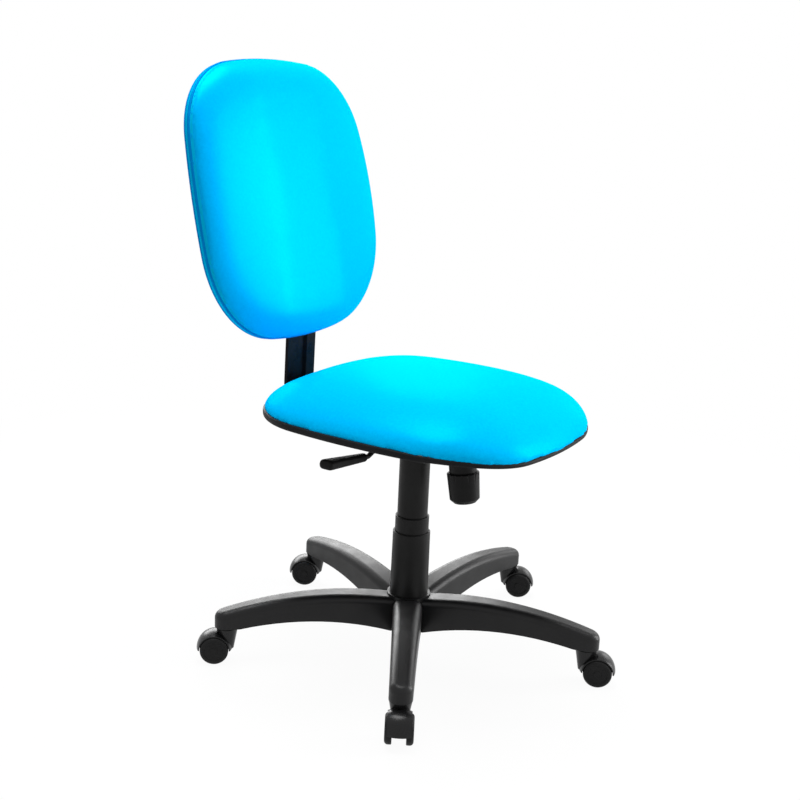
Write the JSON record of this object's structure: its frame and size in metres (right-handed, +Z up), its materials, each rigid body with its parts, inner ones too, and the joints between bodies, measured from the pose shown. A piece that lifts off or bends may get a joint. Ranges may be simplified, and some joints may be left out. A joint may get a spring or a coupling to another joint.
{
  "type": "swivel office chair",
  "caption": "Armless swivel office chair: cushioned seat and backrest on a tilting mechanism, gas-lift column with telescoping covers, and a star base on twin-wheel casters.",
  "frame": {"origin": "on the floor, under the column axis at the middle of the star base", "axes": "+Z up along the column; -Y is the way the sitter faces; -X is the sitter's right, where the height lever is"},
  "size_m": [0.6498, 0.6867, 0.9472],
  "materials": {
    "base_nylon": "satin moulded glass-filled nylon, black",
    "column_cover": "satin moulded plastic, black",
    "column_steel": "semi-gloss black paint on drawn steel tube",
    "guide_acetal": "natural acetal, machined smooth",
    "bearing_steel": "ground bearing steel",
    "rod_chrome": "hard-chromed ground rod",
    "buffer_rubber": "matt black rubber",
    "mechanism_paint": "black powder coat on pressed steel",
    "zinc_steel": "zinc-plated steel",
    "spring_steel": "oiled dark spring steel",
    "knob_plastic": "fluted black moulding, satin",
    "lever_steel": "black-coated steel rod",
    "lever_plastic": "black moulded grip, semi-gloss",
    "plywood": "bare moulded plywood",
    "edge_trim": "soft black extruded edging, satin",
    "lining_cloth": "black non-woven lining, stapled",
    "seat_fabric": "fine woven polyester over foam, bright cyan blue",
    "back_fabric": "fine woven polyester over foam, bright cyan blue",
    "back_edge": "sewn piped edge in the same cyan blue cloth",
    "blade_paint": "gloss black paint on pressed steel strip",
    "caster_hood": "black moulded hood, semi-gloss",
    "caster_steel": "bright steel",
    "wheel_nylon": "black nylon wheel"
  },
  "bodies": {
    "base": {"star_base": "base_nylon", "column_tube": "column_steel", "column_bush": "guide_acetal", "thrust_washer_lower": "bearing_steel", "thrust_ball_cage": "bearing_steel", "cover_lower": "column_cover"},
    "spindle": {"piston_rod": "rod_chrome", "thrust_washer_upper": "bearing_steel", "rod_clip": "bearing_steel", "rod_buffer": "buffer_rubber"},
    "carrier": {"gas_cylinder": "column_steel", "cover_upper": "column_cover", "hub_arm": "mechanism_paint", "tilt_pin": "zinc_steel", "lever_pin": "zinc_steel", "spring_washer": "zinc_steel"},
    "cover_slider": {"cover_middle": "column_cover"},
    "release": {"release_pin": "bearing_steel"},
    "lever": {"lever_rod": "lever_steel", "lever_grip": "lever_plastic"},
    "seat": {"seat_plate": "mechanism_paint", "tension_bolt": "zinc_steel", "tension_spring": "spring_steel", "seat_board": "plywood", "seat_trim": "edge_trim", "seat_lining": "lining_cloth", "seat_cushion": "seat_fabric", "panel_screws": "zinc_steel", "panel_tnuts": "zinc_steel", "back_blade": "blade_paint", "back_board": "plywood", "back_trim": "back_edge", "back_cushion": "back_fabric", "back_rear_cover": "back_fabric"},
    "knob": {"tension_knob": "knob_plastic"},
    "caster_1": {"caster_hood_1": "caster_hood", "caster_stem_1": "caster_steel", "caster_axle_1": "caster_steel"},
    "wheel_left_1": {"wheel_left_1": "wheel_nylon"},
    "wheel_right_1": {"wheel_right_1": "wheel_nylon"},
    "caster_2": {"caster_hood_2": "caster_hood", "caster_stem_2": "caster_steel", "caster_axle_2": "caster_steel"},
    "wheel_left_2": {"wheel_left_2": "wheel_nylon"},
    "wheel_right_2": {"wheel_right_2": "wheel_nylon"},
    "caster_3": {"caster_hood_3": "caster_hood", "caster_stem_3": "caster_steel", "caster_axle_3": "caster_steel"},
    "wheel_left_3": {"wheel_left_3": "wheel_nylon"},
    "wheel_right_3": {"wheel_right_3": "wheel_nylon"},
    "caster_4": {"caster_hood_4": "caster_hood", "caster_stem_4": "caster_steel", "caster_axle_4": "caster_steel"},
    "wheel_left_4": {"wheel_left_4": "wheel_nylon"},
    "wheel_right_4": {"wheel_right_4": "wheel_nylon"},
    "caster_5": {"caster_hood_5": "caster_hood", "caster_stem_5": "caster_steel", "caster_axle_5": "caster_steel"},
    "wheel_left_5": {"wheel_left_5": "wheel_nylon"},
    "wheel_right_5": {"wheel_right_5": "wheel_nylon"}
  },
  "joints": [
    {"name": "seat_swivel", "type": "hinge", "parent": "base", "child": "spindle", "pos_m": [0, 0, 0.1], "axis": [0, 0, 1], "continuous": true},
    {"name": "seat_height", "type": "slide", "parent": "spindle", "child": "carrier", "axis": [0, 0, 1], "range_m": [-0.07, 0.04]},
    {"name": "cover_slide", "type": "slide", "parent": "base", "child": "cover_slider", "axis": [0, 0, 1], "range_m": [-0.0351, 0.0201]},
    {"name": "lever_lift", "type": "hinge", "parent": "carrier", "child": "lever", "pos_m": [-0.048, 0.02, 0.377], "axis": [0, 1, 0], "range_deg": [0, 4.5], "stiffness_Nm_per_rad": 2, "springref_deg": -2.86},
    {"name": "valve_press", "type": "slide", "parent": "carrier", "child": "release", "axis": [0, 0, -1], "range_m": [0, 0.0038]},
    {"name": "seat_tilt", "type": "hinge", "parent": "carrier", "child": "seat", "pos_m": [0, -0.03, 0.378], "axis": [-1, 0, 0], "range_deg": [0, 12], "stiffness_Nm_per_rad": 120, "springref_deg": -11.46, "deforming": ["tension_spring"]},
    {"name": "knob_turn", "type": "hinge", "parent": "seat", "child": "knob", "pos_m": [0, -0.0907, 0.328], "axis": [0, 0.1374, 0.9905], "continuous": true},
    {"name": "caster_swivel_1", "type": "hinge", "parent": "base", "child": "caster_1", "pos_m": [-0.2592, -0.15884, 0.07], "axis": [0, 0, 1], "continuous": true},
    {"name": "wheel_left_spin_1", "type": "hinge", "parent": "caster_1", "child": "wheel_left_1", "pos_m": [-0.27613, -0.1695, 0.023], "axis": [0.5329, -0.8462, 0], "continuous": true},
    {"name": "wheel_right_spin_1", "type": "hinge", "parent": "caster_1", "child": "wheel_right_1", "pos_m": [-0.27613, -0.1695, 0.023], "axis": [0.5329, -0.8462, 0], "continuous": true},
    {"name": "caster_swivel_2", "type": "hinge", "parent": "base", "child": "caster_2", "pos_m": [0.07097, -0.2956, 0.07], "axis": [0, 0, 1], "continuous": true},
    {"name": "wheel_left_spin_2", "type": "hinge", "parent": "caster_2", "child": "wheel_left_2", "pos_m": [0.07989, -0.3135, 0.023], "axis": [0.8949, 0.4462, 0], "continuous": true},
    {"name": "wheel_right_spin_2", "type": "hinge", "parent": "caster_2", "child": "wheel_right_2", "pos_m": [0.07989, -0.3135, 0.023], "axis": [0.8949, 0.4462, 0], "continuous": true},
    {"name": "caster_swivel_3", "type": "hinge", "parent": "base", "child": "caster_3", "pos_m": [0.30306, -0.02385, 0.07], "axis": [0, 0, 1], "continuous": true},
    {"name": "wheel_left_spin_3", "type": "hinge", "parent": "caster_3", "child": "wheel_left_3", "pos_m": [0.31372, -0.04077, 0.023], "axis": [0.8462, 0.5329, 0], "continuous": true},
    {"name": "wheel_right_spin_3", "type": "hinge", "parent": "caster_3", "child": "wheel_right_3", "pos_m": [0.31372, -0.04077, 0.023], "axis": [0.8462, 0.5329, 0], "continuous": true},
    {"name": "caster_swivel_4", "type": "hinge", "parent": "base", "child": "caster_4", "pos_m": [0.11634, 0.28086, 0.07], "axis": [0, 0, 1], "continuous": true},
    {"name": "wheel_left_spin_4", "type": "hinge", "parent": "caster_4", "child": "wheel_left_4", "pos_m": [0.10568, 0.29778, 0.023], "axis": [-0.8462, -0.5329, 0], "continuous": true},
    {"name": "wheel_right_spin_4", "type": "hinge", "parent": "caster_4", "child": "wheel_right_4", "pos_m": [0.10568, 0.29778, 0.023], "axis": [-0.8462, -0.5329, 0], "continuous": true},
    {"name": "caster_swivel_5", "type": "hinge", "parent": "base", "child": "caster_5", "pos_m": [-0.23116, 0.19743, 0.07], "axis": [0, 0, 1], "continuous": true},
    {"name": "wheel_left_spin_5", "type": "hinge", "parent": "caster_5", "child": "wheel_left_5", "pos_m": [-0.24345, 0.21321, 0.023], "axis": [-0.7891, -0.6143, 0], "continuous": true},
    {"name": "wheel_right_spin_5", "type": "hinge", "parent": "caster_5", "child": "wheel_right_5", "pos_m": [-0.24345, 0.21321, 0.023], "axis": [-0.7891, -0.6143, 0], "continuous": true}
  ],
  "couplings": [
    {"joint": "cover_slide", "follows": "seat_height", "ratio": 0.5},
    {"joint": "valve_press", "follows": "lever_lift", "m_per_rad": 0.048}
  ]
}
